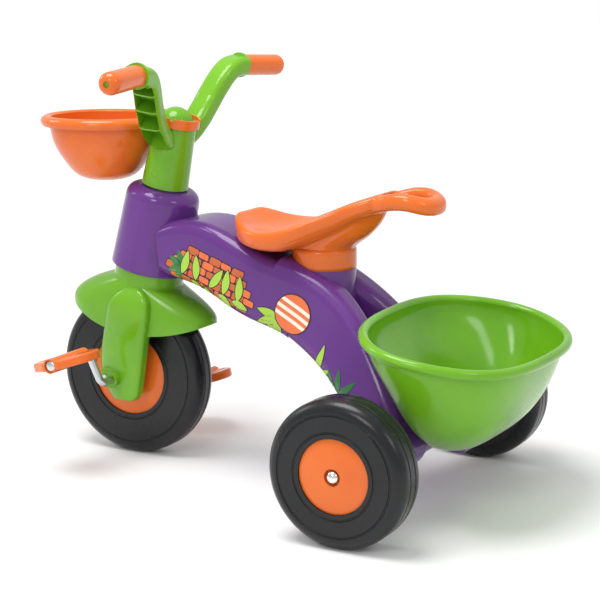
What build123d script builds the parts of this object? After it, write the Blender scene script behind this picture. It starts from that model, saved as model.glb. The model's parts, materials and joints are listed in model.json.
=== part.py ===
from build123d import *
from math import atan2, cos, degrees, radians, sin, tan
import os

# Ride-on tricycle. Millimetres, +Z up, the rider faces -Y, +X is the rider's left.
# The origin is on the ground under the middle of the tricycle.

# ---- Overall layout ----
wheelbase = 415.0
front_axle_y = -230.0
rear_axle_y = front_axle_y + wheelbase
front_wheel_radius = 110.0
rear_wheel_radius = 87.0
rear_wheel_offset = 203.0        # wheel centre to the middle plane
rake = 12.6                      # steering axis lean, top towards the rider
axis_lead = 8.0                  # steering axis ahead of the front axle

# ---- Fits ----
running_gap = 0.08               # radial, turning pieces on a rod
turning_gap = 0.3                # radial or axial, large plastic faces that turn
seated_gap = 0.02                # radial, pieces pushed together for good
side_gap = 0.6                   # axial, between wheels, washers and pedals
skin = 3.0                       # wall of the blown pieces

# ---- Rods ----
rear_rod_radius = 4.0
crank_radius = 5.0
crank_throw = 43.0
crank_angle = 112.0              # left arm, from +Y towards +Z
crank_knee_x = 84.0
spindle_start_x = 88.0
spindle_end_x = 169.0
crank_bend = 9.0

# ---- Front wheel ----
front_tyre_width = 43.0
front_hub_radius = 55.5
# ---- Rear wheels ----
rear_tyre_width = 52.0
rear_hub_radius = 43.8
tyre_shoulder = 15.0
tyre_lip = 7.0                   # how far the hub seat reaches inward
hub_seat_depth = 5.0
hub_plate = 3.2
hub_bulge = 3.0
hub_sleeve_radius = 11.0
cap_radius = 7.5
cap_recess_radius = 10.0
cap_recess_depth = 6.0
cap_reach = 9.0
cap_rim_share = 0.45             # straight part of a cap's length

# ---- Head and steering column ----
head_low_z = 254.0
head_length = 110.0
head_low_radius = 52.0
head_top_radius = 47.5
head_shoulder = 15.0
bush_length = 12.0
bush_wall = 3.0
bush_flange = 5.0
bush_flange_height = 2.0
steerer_radius = 15.0
steerer_wall = 3.0
column_wall = 4.0
column_gap = 2.5                 # head top to handlebar stem
stem_low_radius = 30.5
stem_top_radius = 26.5
stem_length = 88.0
stem_socket_depth = 45.0
dome_radius = 22.0
dome_height = 16.0
lock_height = 18.0               # lock screw above the stem foot
lock_recess = 3.0
lock_head_radius = 4.5

# ---- Handlebar ----
arm_depth = 34.0                 # fore and aft
arm_thickness = 25.0
arm_wall = 3.5
arm_end_x = 124.0
grip_height = 512.5              # grip inner end above the ground
grip_radius = 14.0
grip_length = 82.0
grip_sweep = 9.3
grip_drop = 2.8
bar_radius = 10.0
bar_tip_radius = 4.0

# ---- Front basket ----
front_bowl_radius = 74.0
front_bowl_depth = 82.0
front_bowl_reach = 110.0         # bowl centre ahead of the steering axis
front_rim_z = 447.0
front_lip = 11.0
front_lip_drop = 9.0
bowl_wall = 2.6
ring_height = 12.0
ring_wall = 3.6
ring_bridge_width = 34.0

# ---- Rear basket ----
rear_rim_y = 62.0                # rim centre behind the rear axle
rear_rim_z = 210.7
rear_rim_half_width = 169.6
rear_rim_half_depth = 104.0
rear_rim_tilt = 9.6
rear_rim_bead = 6.2
rim_fullness = 1.05
rear_bowl_depth = 131.0
rear_wall = 3.0
basket_screw_x = 15.0
screw_radius = 2.0
screw_head_height = 2.5
screw_length = 9.0
shelf_thickness = 7.0
shelf_width = 56.0

# ---- Seat ----
seat_post_y = -132.0             # seat post ahead of the rear axle
collar_low_z = 277.0
collar_height = 26.0
collar_radius = 40.5
post_radius = 40.0
post_depth = 62.0                # post foot under the collar
seat_round = 5.5
loop_hole_length = 50.0
loop_hole_width = 34.0
loop_hole_y = -19.0              # hole centre, from the rear axle

# ---- Rear housing ----
housing_radius = 30.0
foot_radius = 35.0
foot_half_span = 100.0
housing_half_span = 170.0
housing_end_radius = 24.0
axle_tube_radius = 8.0

# ---- Fork ----
leg_inner_x = 33.0
leg_thickness = 19.0
guard_radius = 140.0
guard_wall = 3.5
guard_half_width = 50.0
guard_shoulder = 22.0
guard_centre_y = 3.0
guard_centre_z = 2.0
guard_low_z = 176.0
clip_half_height = 13.0
clip_outer_x = 62.0
clip_screw_y = -14.5
crown_radius = 42.5
clip_screw_radius = 2.2
clip_screw_head = 5.0

# ---- Pedals ----
pedal_length = 92.0
pedal_width = 74.0
pedal_thickness = 12.0
pedal_tilt = 16.0
pedal_barrel = 9.5
pedal_round = 3.0

# ---- Derived frames ----
steer_dir = Vector(0, sin(radians(rake)), cos(radians(rake)))


def steer_plane(height):
    """Plane square to the steering axis where the axis is at a height above the ground."""
    y = front_axle_y - axis_lead + (height - front_wheel_radius) * tan(radians(rake))
    return Plane(origin=(0, y, height), x_dir=(1, 0, 0), z_dir=steer_dir)


def along_x(x, y, z):
    """Plane whose normal is +X, local x is +Y and local y is +Z."""
    return Plane(origin=(x, y, z), x_dir=(0, 1, 0), z_dir=(1, 0, 0))


def wheel_profile_plane(x, y, z):
    """Plane with local x along the axle and local y along the wheel radius."""
    return Plane(origin=(x, y, z), x_dir=(1, 0, 0), z_dir=(0, -1, 0))


head_plane = steer_plane(head_low_z)
stem_plane = head_plane.offset(head_length + column_gap)


def dome_middle(radius, rise):
    """Radius and height of the point halfway along the arc of a round dome."""
    ball = (radius ** 2 + rise ** 2) / (2 * rise)
    half_angle = atan2(radius, ball - rise) / 2
    return ball * sin(half_angle), rise - ball + ball * cos(half_angle)


def save(piece, name):
    """Label one finished piece and write it to its own file."""
    piece.part.label = name
    export_step(piece.part, "parts/" + name + ".step")


# ---------------------------------------------------------------- wheels
def make_tyre(centre, radius, width, hub_radius):
    """Blown tyre: a hollow ring, open towards the hub, with a seat for each hub plate."""
    plane = wheel_profile_plane(*centre)
    seat_radius = hub_radius + turning_gap
    bore = hub_radius - tyre_lip
    inner_width = width - 2 * skin
    seat_width = width - 2 * (hub_seat_depth + skin)
    ridge = 1.3
    with BuildPart() as tyre:
        with BuildSketch(plane):
            with Locations((0, (radius + bore) / 2)):
                Rectangle(width, radius - bore)
            fillet(vertices().sort_by(Axis.Y)[-2:], tyre_shoulder)
            with Locations((0, (radius - skin + seat_radius + skin) / 2)):
                RectangleRounded(inner_width, radius - seat_radius - 2 * skin, tyre_shoulder - skin,
                                 mode=Mode.SUBTRACT)
            with Locations((0, radius / 2)):
                Rectangle(seat_width, radius - 2 * tyre_shoulder, mode=Mode.SUBTRACT)
            with Locations((width / 2, seat_radius / 2), (-width / 2, seat_radius / 2)):
                Rectangle(2 * hub_seat_depth, seat_radius, mode=Mode.SUBTRACT)
            with Locations(
                (width / 2, seat_radius + 5 * ridge), (-width / 2, seat_radius + 5 * ridge),
                (width / 2, radius - tyre_shoulder - ridge), (-width / 2, radius - tyre_shoulder - ridge),
            ):
                Circle(ridge, mode=Mode.SUBTRACT)
            with GridLocations(width / 4, 2 * radius, 4, 2):
                Circle(ridge, mode=Mode.SUBTRACT)
        revolve(axis=Axis(centre, (1, 0, 0)))
    return tyre.part


def make_hub(centre, side, width, hub_radius, rod_radius, sleeve_end, recess, step_depth):
    """Hub plate with a domed face, a sleeve on the rod and an optional cap recess."""
    plane = wheel_profile_plane(*centre)
    face = width / 2 - 1.5
    back = width / 2 - hub_seat_depth
    with BuildPart() as hub:
        with BuildSketch(plane):
            with BuildLine():
                Polyline(
                    (side * back, hub_radius), (side * back, hub_sleeve_radius),
                    (side * sleeve_end, hub_sleeve_radius), (side * sleeve_end, rod_radius),
                    (side * (face + hub_bulge), rod_radius),
                )
                ThreePointArc(
                    (side * (face + hub_bulge), rod_radius),
                    (side * (face + hub_bulge * 0.8), hub_radius * 0.5),
                    (side * (face - 1.0), hub_radius),
                )
                Line((side * (face - 1.0), hub_radius), (side * back, hub_radius))
            make_face()
            if recess:
                with Locations((side * (face + hub_bulge), cap_recess_radius / 2)):
                    Rectangle(2 * cap_recess_depth, cap_recess_radius, mode=Mode.SUBTRACT)
            with Locations((side * (back - 1.0), (hub_radius + hub_sleeve_radius) / 2)):
                Rectangle(2 * step_depth, hub_radius - hub_sleeve_radius - 14, mode=Mode.SUBTRACT)
        revolve(axis=Axis(centre, (1, 0, 0)))
    return hub.part


def rear_wheel(side):
    """Tyre, outer hub and inner hub of one rear wheel."""
    centre = (side * rear_wheel_offset, rear_axle_y, rear_wheel_radius)
    bore = rear_rod_radius + running_gap
    tyre = make_tyre(centre, rear_wheel_radius, rear_tyre_width, rear_hub_radius)
    outer = make_hub(centre, side, rear_tyre_width, rear_hub_radius, bore, 0.2, True, 2.0)
    inner = make_hub(centre, -side, rear_tyre_width, rear_hub_radius, bore, 0.2, False, 2.0)
    return tyre, outer, inner


os.makedirs("parts", exist_ok=True)
front_centre = (0, front_axle_y, front_wheel_radius)

with BuildPart() as front_tyre:
    add(make_tyre(front_centre, front_wheel_radius, front_tyre_width, front_hub_radius))
save(front_tyre, "front_tyre")

for name, side in (("left", 1), ("right", -1)):
    with BuildPart() as front_hub:
        add(make_hub(front_centre, side, front_tyre_width, front_hub_radius,
                     crank_radius + seated_gap, 0.2, False, 2.0))
    save(front_hub, "front_hub_" + name)
    tyre_part, outer_part, inner_part = rear_wheel(side)
    with BuildPart() as rear_tyre:
        add(tyre_part)
    save(rear_tyre, "rear_tyre_" + name)
    with BuildPart() as rear_hub_outer:
        add(outer_part)
    save(rear_hub_outer, "rear_hub_outer_" + name)
    with BuildPart() as rear_hub_inner:
        add(inner_part)
    save(rear_hub_inner, "rear_hub_inner_" + name)


# ---------------------------------------------------------------- rods and caps
wheel_inner_x = rear_wheel_offset - rear_tyre_width / 2
hub_inner_face = rear_wheel_offset - (rear_tyre_width / 2 - 1.5 + hub_bulge)
recess_floor_x = rear_wheel_offset + rear_tyre_width / 2 - 1.5 + hub_bulge - cap_recess_depth
rod_end_x = recess_floor_x + side_gap + cap_reach - 2.0

with BuildPart() as rear_axle:
    with BuildSketch(along_x(-rod_end_x, rear_axle_y, rear_wheel_radius)):
        Circle(rear_rod_radius)
    extrude(amount=2 * rod_end_x)
    chamfer(rear_axle.edges().filter_by(GeomType.CIRCLE), 0.6)
save(rear_axle, "rear_axle")


def make_cap(x, side, y, z, rod_radius, radius, length):
    """Domed push cap: blind bore on the rod end, dome facing outwards."""
    plane = wheel_profile_plane(x, y, z)
    rim = length * cap_rim_share
    mid_radius, mid_rise = dome_middle(radius, length - rim)
    with BuildPart() as cap:
        with BuildSketch(plane):
            with BuildLine():
                Polyline((0, 0), (0, radius), (side * rim, radius))
                ThreePointArc((side * rim, radius), (side * (rim + mid_rise), mid_radius), (side * length, 0))
                Line((side * length, 0), (0, 0))
            make_face()
            with Locations((side * (length - 2.0) / 2, rod_radius / 2)):
                Rectangle(length - 2.0, rod_radius, mode=Mode.SUBTRACT)
        revolve(axis=Axis((x, y, z), (1, 0, 0)))
    return cap.part


for name, side in (("left", 1), ("right", -1)):
    with BuildPart() as axle_cap:
        add(make_cap(side * (recess_floor_x + side_gap), side, rear_axle_y, rear_wheel_radius,
                     rear_rod_radius + seated_gap, cap_radius, cap_reach))
    save(axle_cap, "axle_cap_" + name)
    with BuildPart() as axle_washer:
        with BuildSketch(along_x(side * (housing_half_span + side_gap), rear_axle_y, rear_wheel_radius)):
            Circle(2.2 * rear_rod_radius)
            Circle(rear_rod_radius + seated_gap, mode=Mode.SUBTRACT)
        extrude(amount=side * (hub_inner_face - housing_half_span - 2 * side_gap))
    save(axle_washer, "axle_washer_" + name)

# Crank rod: axle, two arms and two pedal spindles bent from one bar.
throw_y = crank_throw * cos(radians(crank_angle))
throw_z = crank_throw * sin(radians(crank_angle))
left_spindle = (front_axle_y + throw_y, front_wheel_radius + throw_z)
right_spindle = (front_axle_y - throw_y, front_wheel_radius - throw_z)
with BuildPart() as crank_axle:
    with BuildLine() as crank_path:
        FilletPolyline(
            (spindle_end_x, *left_spindle), (spindle_start_x, *left_spindle),
            (crank_knee_x, front_axle_y, front_wheel_radius),
            (-crank_knee_x, front_axle_y, front_wheel_radius),
            (-spindle_start_x, *right_spindle), (-spindle_end_x, *right_spindle),
            radius=crank_bend,
        )
    with BuildSketch(along_x(spindle_end_x, *left_spindle)):
        Circle(crank_radius)
    sweep()
save(crank_axle, "crank_axle")

# ---------------------------------------------------------------- pedals
pedal_inner_x = spindle_start_x + crank_bend + side_gap
pedal_outer_x = pedal_inner_x + pedal_width
cap_hole_depth = 5.0
for name, side, spindle in (("left", 1, left_spindle), ("right", -1, right_spindle)):
    middle_x = side * (pedal_inner_x + pedal_outer_x) / 2
    pedal_plane = Plane(origin=(middle_x, *spindle), x_dir=(1, 0, 0), z_dir=(0, 0, 1)).rotated((pedal_tilt, 0, 0))
    barrel_plane = along_x(side * pedal_inner_x, *spindle)
    tip = pedal_length / 2
    with BuildPart() as pedal:
        with BuildSketch(pedal_plane.offset(-pedal_thickness / 2)):
            with BuildLine():
                ThreePointArc((-pedal_width * 0.3, tip * 0.8), (0, tip), (pedal_width * 0.3, tip * 0.8))
                Line((pedal_width * 0.3, tip * 0.8), (pedal_width / 2, tip * 0.25))
                Line((pedal_width / 2, tip * 0.25), (pedal_width / 2, -tip * 0.25))
                Line((pedal_width / 2, -tip * 0.25), (pedal_width * 0.3, -tip * 0.8))
                ThreePointArc((pedal_width * 0.3, -tip * 0.8), (0, -tip), (-pedal_width * 0.3, -tip * 0.8))
                Line((-pedal_width * 0.3, -tip * 0.8), (-pedal_width / 2, -tip * 0.25))
                Line((-pedal_width / 2, -tip * 0.25), (-pedal_width / 2, tip * 0.25))
                Line((-pedal_width / 2, tip * 0.25), (-pedal_width * 0.3, tip * 0.8))
            make_face()
            fillet(vertices(), 9)
        extrude(amount=pedal_thickness)
        broad_faces = faces().sort_by(SortBy.AREA)[-2:]
        fillet(broad_faces[0].edges() + broad_faces[1].edges(), pedal_round)
        with BuildSketch(barrel_plane):
            Circle(pedal_barrel)
        extrude(amount=side * pedal_width)
        slot_plane = pedal_plane.offset(pedal_thickness / 2)
        with BuildSketch(slot_plane):
            with Locations((0, tip * 0.42), (0, tip * 0.66), (0, -tip * 0.42), (0, -tip * 0.66)):
                SlotOverall(pedal_width * 0.52, 5.5)
        extrude(amount=-2.5, mode=Mode.SUBTRACT)
        with BuildSketch(barrel_plane):
            Circle(crank_radius + running_gap)
        extrude(amount=side * pedal_width, mode=Mode.SUBTRACT)
        with BuildSketch(along_x(side * (pedal_outer_x - cap_hole_depth), *spindle)):
            Circle(cap_radius + 0.5)
        extrude(amount=side * cap_hole_depth, mode=Mode.SUBTRACT)
    save(pedal, "pedal_" + name)
    with BuildPart() as pedal_cap:
        add(make_cap(side * (pedal_outer_x - cap_hole_depth + side_gap), side, *spindle,
                     crank_radius + seated_gap, cap_radius, cap_hole_depth))
    save(pedal_cap, "pedal_cap_" + name)

# ---------------------------------------------------------------- front basket
ring_low = 81.0                   # ring foot above the stem foot
ring_bore = stem_top_radius + 0.6


front_bowl_y = steer_plane(front_rim_z).origin.Y - front_bowl_reach


def front_bowl_solid(inset):
    """Rounded bowl body below the rim, drawn in by inset on the outside."""
    radius = front_bowl_radius - inset
    depth = front_bowl_depth - inset
    with BuildPart() as bowl:
        with BuildSketch(Plane.YZ):
            with BuildLine():
                Line((0, 0), (radius, 0))
                Spline((radius, 0), (radius * 0.93, -depth * 0.38), (radius * 0.68, -depth * 0.76), (0, -depth),
                       tangents=((-0.06, -1), (-1, 0)))
                Line((0, -depth), (0, 0))
            make_face()
        revolve(axis=Axis.Z)
    return bowl.part.moved(Location((0, front_bowl_y, front_rim_z)))


with BuildPart() as front_basket:
    add(front_bowl_solid(0))
    with BuildSketch(Plane(origin=(0, front_bowl_y, front_rim_z), x_dir=(0, 1, 0), z_dir=(1, 0, 0))):
        with BuildLine():
            Line((front_bowl_radius - bowl_wall, 0), (front_bowl_radius - bowl_wall, 1.5))
            ThreePointArc(
                (front_bowl_radius - bowl_wall, 1.5),
                (front_bowl_radius + front_lip * 0.45, 4.0),
                (front_bowl_radius + front_lip, -front_lip_drop * 0.55),
            )
            Line((front_bowl_radius + front_lip, -front_lip_drop * 0.55),
                 (front_bowl_radius + front_lip - 2.2, -front_lip_drop))
            Polyline((front_bowl_radius + front_lip - 2.2, -front_lip_drop),
                     (front_bowl_radius + front_lip - 3.2, -front_lip_drop * 0.4),
                     (front_bowl_radius - 1.0, -front_lip_drop * 0.3),
                     (front_bowl_radius - bowl_wall, 0))
        make_face()
    revolve(axis=Axis((0, front_bowl_y, front_rim_z), (0, 0, 1)))
    with BuildSketch(stem_plane.offset(ring_low)):
        Circle(ring_bore + ring_wall)
    extrude(amount=ring_height)
    with BuildSketch(stem_plane.offset(ring_low)):
        with Locations((0, -ring_bore - 6)):
            Rectangle(ring_bridge_width, 18)
    extrude(amount=ring_height * 0.55)
    add(front_bowl_solid(bowl_wall), mode=Mode.SUBTRACT)
    with BuildSketch(stem_plane.offset(ring_low - front_lip_drop - 7)):
        Circle(ring_bore)
    extrude(amount=ring_height + 26, mode=Mode.SUBTRACT)
    with BuildSketch(stem_plane.offset(ring_low + ring_height - 2.5)):
        with PolarLocations(ring_bore, 4, start_angle=20):
            Rectangle(20, 6)
    extrude(amount=5, mode=Mode.SUBTRACT)
save(front_basket, "front_basket")

# ---------------------------------------------------------------- rear basket
rim_plane = Plane(
    origin=(0, rear_axle_y + rear_rim_y, rear_rim_z), x_dir=(1, 0, 0),
    z_dir=(0, sin(radians(rear_rim_tilt)), cos(radians(rear_rim_tilt))),
)
# Each level of the bowl: depth share, width share, rear share, front share of the rim sizes.
bowl_levels = (
    (0.0, 1.0, 1.0, 1.0), (0.22, 0.965, 0.97, 0.84), (0.45, 0.885, 0.90, 0.55),
    (0.65, 0.77, 0.79, 0.34), (0.82, 0.60, 0.63, 0.16), (0.93, 0.44, 0.47, 0.02), (1.0, 0.28, 0.33, -0.05),
)


def oval_points(half_width, rear, front):
    """Closed outline with pointed sides, reaching rear behind and front ahead of its centre."""
    corner = rim_fullness * 0.7071
    side_y = 0.3 * (rear - front)
    wide = half_width * corner
    back = side_y + (rear - side_y) * corner
    ahead = side_y - (front + side_y) * corner
    return [
        (half_width, side_y), (wide, back), (0, rear), (-wide, back),
        (-half_width, side_y), (-wide, ahead), (0, -front), (wide, ahead),
    ]




# Shelf on the axle housing that carries the basket floor.
shelf_plane = rim_plane.offset(-rear_bowl_depth)
shelf_middle = 0.14 * rear_rim_half_depth
basket_screw_places = ((-basket_screw_x, shelf_middle), (basket_screw_x, shelf_middle))


def rear_bowl_solid(inset):
    """Bucket body lofted between the rim outline and a small flat bottom."""
    bead_in = 3.0
    with BuildPart() as bowl:
        for depth, wide, rear, front in bowl_levels:
            with BuildSketch(rim_plane.offset(-depth * (rear_bowl_depth - inset))):
                with BuildLine():
                    points = oval_points(
                        (rear_rim_half_width - bead_in) * wide - inset,
                        (rear_rim_half_depth - bead_in) * rear - inset,
                        (rear_rim_half_depth - bead_in) * front - inset,
                    )
                    Spline(*points, periodic=True)
                make_face()
        loft()
    return bowl.part


with BuildPart() as rear_basket:
    add(rear_bowl_solid(0))
    add(rear_bowl_solid(rear_wall), mode=Mode.SUBTRACT)
    with BuildLine() as rim_line:
        rim_points = oval_points(rear_rim_half_width, rear_rim_half_depth, rear_rim_half_depth)
        Spline(*[rim_plane.from_local_coords(Vector(x, y, 0)) for x, y in rim_points], periodic=True)
    for start, end in ((0, 0.5), (0.5, 1)):
        half_rim = rim_line.edges()[0].trim(start, end)
        with BuildSketch(Plane(origin=half_rim @ 0, z_dir=half_rim % 0)):
            Circle(rear_rim_bead)
        sweep(path=half_rim)
    with BuildSketch(shelf_plane):
        with Locations(*basket_screw_places):
            Circle(screw_radius + 0.2)
    extrude(amount=3 * rear_wall, mode=Mode.SUBTRACT)
save(rear_basket, "rear_basket")

with BuildPart() as basket_screws:
    with BuildSketch(shelf_plane.offset(rear_wall + seated_gap)):
        with Locations(*basket_screw_places):
            Circle(2.2 * screw_radius)
    extrude(amount=screw_head_height)
    fillet(basket_screws.edges().sort_by(Axis.Z)[-2:], 1)
    with BuildSketch(shelf_plane.offset(rear_wall + seated_gap)):
        with Locations(*basket_screw_places):
            Circle(screw_radius)
    extrude(amount=-screw_length)
save(basket_screws, "basket_screws")

# ---------------------------------------------------------------- handlebar and grips
stem_origin = stem_plane.origin
# Profile plane of the column: local x is +X, local y runs up the steering axis.
column_plane = Plane(origin=stem_origin, x_dir=(1, 0, 0), z_dir=Vector(1, 0, 0).cross(steer_dir))
steer_axis = Axis(stem_origin, steer_dir)


def column_point(x, height, forward=0):
    """Point x to the left of the steering axis where that axis is at a height above the ground."""
    origin = steer_plane(height).origin
    return Vector(x, origin.Y - forward, height)


def grip_plane(side):
    """Plane at the inner end of a grip, its normal pointing out along the grip."""
    sweep_back = radians(grip_sweep)
    drop = radians(grip_drop)
    outward = Vector(side * cos(sweep_back), sin(sweep_back), -sin(drop))
    return Plane(origin=column_point(side * arm_end_x, grip_height, -9), z_dir=outward)


def arm_path(side):
    """Centre line of one handlebar arm, from inside the stem to the grip."""
    with BuildLine() as path:
        Spline(
            column_point(side * 12, 421), column_point(side * 46, 440), column_point(side * 72, 474, -1),
            column_point(side * 92, 502, -4), grip_plane(side).origin,
            tangents=(Vector(side, 0, 0.25), grip_plane(side).z_dir),
        )
    return path.wires()[0]


def arm_sweep(side, depth, thickness, shift, corner):
    """Bar with a rounded rectangular section swept along an arm, shifted to the outer side."""
    path = arm_path(side)
    start = Plane(origin=path @ 0, x_dir=(0, 1, 0), z_dir=path % 0)
    with BuildPart() as bar:
        with BuildSketch(start):
            with Locations((0, side * shift)):
                RectangleRounded(depth, thickness, corner)
        sweep(path=path)
    return bar.part


def arm_pockets(side):
    """Open pockets on the outer side of an arm, between ladder ribs."""
    path = arm_path(side)
    rib = 2.6
    with BuildPart() as pockets:
        add(arm_sweep(side, arm_depth - 2 * arm_wall, arm_thickness, -arm_wall, 2.0))
        for share in (0.0, 0.1, 0.34, 0.52, 0.70, 0.97):
            normal = path % share
            rib_plane = Plane(origin=path @ share, x_dir=(0, 1, 0), z_dir=normal)
            deep = 26 if share in (0.0, 0.97) else rib
            with BuildSketch(rib_plane):
                Rectangle(3 * arm_depth, 3 * arm_thickness)
            extrude(amount=deep / 2, both=True, mode=Mode.SUBTRACT)
    return pockets.part


dome_mid_radius, dome_mid_rise = dome_middle(dome_radius, dome_height)
with BuildPart() as handlebar:
    with BuildSketch(column_plane):
        with BuildLine():
            Polyline((0, 0), (stem_low_radius, 0), (stem_top_radius, stem_length), (dome_radius, stem_length))
            ThreePointArc((dome_radius, stem_length), (dome_mid_radius, stem_length + dome_mid_rise),
                          (0, stem_length + dome_height))
            Line((0, stem_length + dome_height), (0, 0))
        make_face()
    revolve(axis=steer_axis)
    for side in (1, -1):
        add(arm_sweep(side, arm_depth, arm_thickness, 0, 9.0))
    for side in (1, -1):
        with BuildSketch(grip_plane(side).offset(-6)):
            Circle(grip_radius + 2.5)
        extrude(amount=5)
        add(arm_pockets(side), mode=Mode.SUBTRACT)
        with BuildSketch(grip_plane(side).offset(-2)):
            Circle(bar_radius)
        extrude(amount=grip_length - 12)
        with BuildSketch(grip_plane(side).offset(-2)):
            Circle(bar_tip_radius)
        extrude(amount=grip_length - 0.5)
    with BuildSketch(stem_plane.offset(ring_low - turning_gap)):
        Circle(ring_bore + ring_wall + 2 * turning_gap)
        Circle(stem_top_radius, mode=Mode.SUBTRACT)
    extrude(amount=ring_height + 30, mode=Mode.SUBTRACT)
    with BuildSketch(stem_plane):
        Circle(steerer_radius + seated_gap)
    extrude(amount=stem_socket_depth, mode=Mode.SUBTRACT)
    with BuildSketch(stem_plane.offset(stem_socket_depth + column_wall)):
        Circle(stem_top_radius - column_wall)
    extrude(amount=stem_length - stem_socket_depth - 3 * column_wall, mode=Mode.SUBTRACT)
    with BuildSketch(stem_plane.offset(stem_socket_depth - 1)):
        Circle(steerer_radius - column_wall)
    extrude(amount=2 * column_wall, mode=Mode.SUBTRACT)
    lock_plane = Plane(origin=stem_plane.offset(lock_height).origin, x_dir=(0, 1, 0), z_dir=(1, 0, 0))
    lock_head_x = stem_low_radius - lock_recess - 0.5
    with BuildSketch(lock_plane.offset(lock_head_x - seated_gap)):
        Circle(lock_head_radius + 0.2)
    extrude(amount=lock_recess + 4, mode=Mode.SUBTRACT)
    with BuildSketch(lock_plane):
        Circle(screw_radius + seated_gap)
    extrude(amount=lock_head_x, mode=Mode.SUBTRACT)
save(handlebar, "handlebar")

for name, side in (("left", 1), ("right", -1)):
    with BuildPart() as grip:
        with BuildSketch(grip_plane(side)):
            Circle(grip_radius)
        extrude(amount=grip_length)
        fillet(grip.faces().sort_by(Axis(grip_plane(side).origin, grip_plane(side).z_dir))[-1].edges(), grip_radius - 3)
        with BuildSketch(grip_plane(side)):
            Circle(bar_radius + seated_gap)
        extrude(amount=grip_length - 13.5, mode=Mode.SUBTRACT)
        with BuildSketch(grip_plane(side)):
            Circle(bar_tip_radius + seated_gap)
        extrude(amount=grip_length, mode=Mode.SUBTRACT)
    save(grip, "grip_" + name)

# ---------------------------------------------------------------- fork
crown_plane = head_plane.offset(-column_gap)
guard_axis_point = (0, front_axle_y + guard_centre_y, front_wheel_radius + guard_centre_z)
steerer_length = head_length + 2 * column_gap + stem_socket_depth - 2
clip_plate_length = 36.0
clip_plate_y = -2.5


def fork_leg(side):
    """One blade of the fork: wide under the guard, narrow and rounded at the axle."""
    with BuildPart() as leg:
        with BuildSketch(along_x(side * leg_inner_x, front_axle_y, front_wheel_radius)):
            with BuildLine():
                Polyline((-26, 118), (-30, 60), (-30, 8), (-22, -28), (25, -29), (33, 8), (44, 68), (40, 118),
                         close=True)
            make_face()
            fillet(vertices().sort_by(Axis.Y)[:2], 12)
        extrude(amount=side * leg_thickness)
        outer_face = leg.faces().sort_by(Axis.X)[-1 if side > 0 else 0]
        fillet(outer_face.edges(), 5)
        with BuildSketch(along_x(side * (leg_inner_x + leg_thickness), front_axle_y, front_wheel_radius)):
            with BuildLine():
                Polyline((-21, 62), (-21, 12), (-14, 2), (20, 2), (26, 12), (33, 62), close=True)
            make_face()
            fillet(vertices(), 6)
        extrude(amount=-side * 3, mode=Mode.SUBTRACT)
    return leg.part


def guard_shape(inset):
    """Ring segment over the wheel with rounded shoulders, drawn in by inset."""
    half = guard_half_width - inset
    outer = guard_radius - inset
    low = front_wheel_radius * 0.5
    with BuildPart() as guard:
        with BuildSketch(wheel_profile_plane(*guard_axis_point)):
            with Locations((0, (outer + low) / 2)):
                Rectangle(2 * half, outer - low)
            fillet(vertices().sort_by(Axis.Y)[-2:], guard_shoulder - inset)
        revolve(axis=Axis(guard_axis_point, (1, 0, 0)))
    return guard.part


with BuildPart() as guard_window:
    with BuildSketch(along_x(0, front_axle_y, front_wheel_radius)):
        with BuildLine():
            Polyline((-101, 84), (-94, 70), (-60, 62), (-30, 60), (44, 60), (100, 68), (132, 76), (128, 170),
                     (-120, 170), (-115, 96), close=True)
        make_face()
        fillet(vertices().filter_by_position(Axis.Y, 55, 90), 5)
    extrude(amount=2 * guard_half_width, both=True)
    with BuildSketch(Plane.XY.offset(front_wheel_radius + 50)):
        with Locations((0, front_axle_y + 10)):
            Ellipse(guard_half_width + 6, 134)
    extrude(amount=140, mode=Mode.INTERSECT)

with BuildPart() as fork:
    add(guard_shape(0))
    add(guard_window.part, mode=Mode.INTERSECT)
    for side in (1, -1):
        add(fork_leg(side))
    with BuildSketch(crown_plane):
        Circle(crown_radius)
    with BuildSketch(crown_plane.offset(-30)):
        Circle(crown_radius + 6)
    loft()
    add(guard_shape(guard_wall), mode=Mode.SUBTRACT)
    with BuildSketch(along_x(-leg_inner_x, *front_centre[1:])):
        Circle(front_wheel_radius + 12)
    extrude(amount=2 * leg_inner_x, mode=Mode.SUBTRACT)
    for side in (1, -1):
        add(fork_leg(side))
        with BuildSketch(along_x(side * (leg_inner_x + leg_thickness - 2), *front_centre[1:])):
            with Locations((clip_plate_y, 0)):
                Rectangle(clip_plate_length + 0.4, 2 * clip_half_height + 0.4)
        extrude(amount=side * 6, mode=Mode.SUBTRACT)
        with BuildSketch(along_x(side * leg_inner_x, *front_centre[1:])):
            Circle(crank_radius + 3 * turning_gap)
        extrude(amount=side * (leg_thickness + 10), mode=Mode.SUBTRACT)
        with BuildSketch(along_x(side * (leg_inner_x + 4), front_axle_y + clip_screw_y, front_wheel_radius)):
            Circle(clip_screw_radius)
        extrude(amount=side * leg_thickness, mode=Mode.SUBTRACT)
    with BuildSketch(crown_plane.offset(-4)):
        Circle(steerer_radius)
    extrude(amount=4 + steerer_length)
    with BuildSketch(crown_plane.offset(-60)):
        Circle(steerer_radius - steerer_wall)
    extrude(amount=60 + steerer_length - 4, mode=Mode.SUBTRACT)
    with BuildSketch(lock_plane):
        Circle(screw_radius + seated_gap)
    extrude(amount=steerer_radius + 1, mode=Mode.SUBTRACT)
save(fork, "fork")

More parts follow.
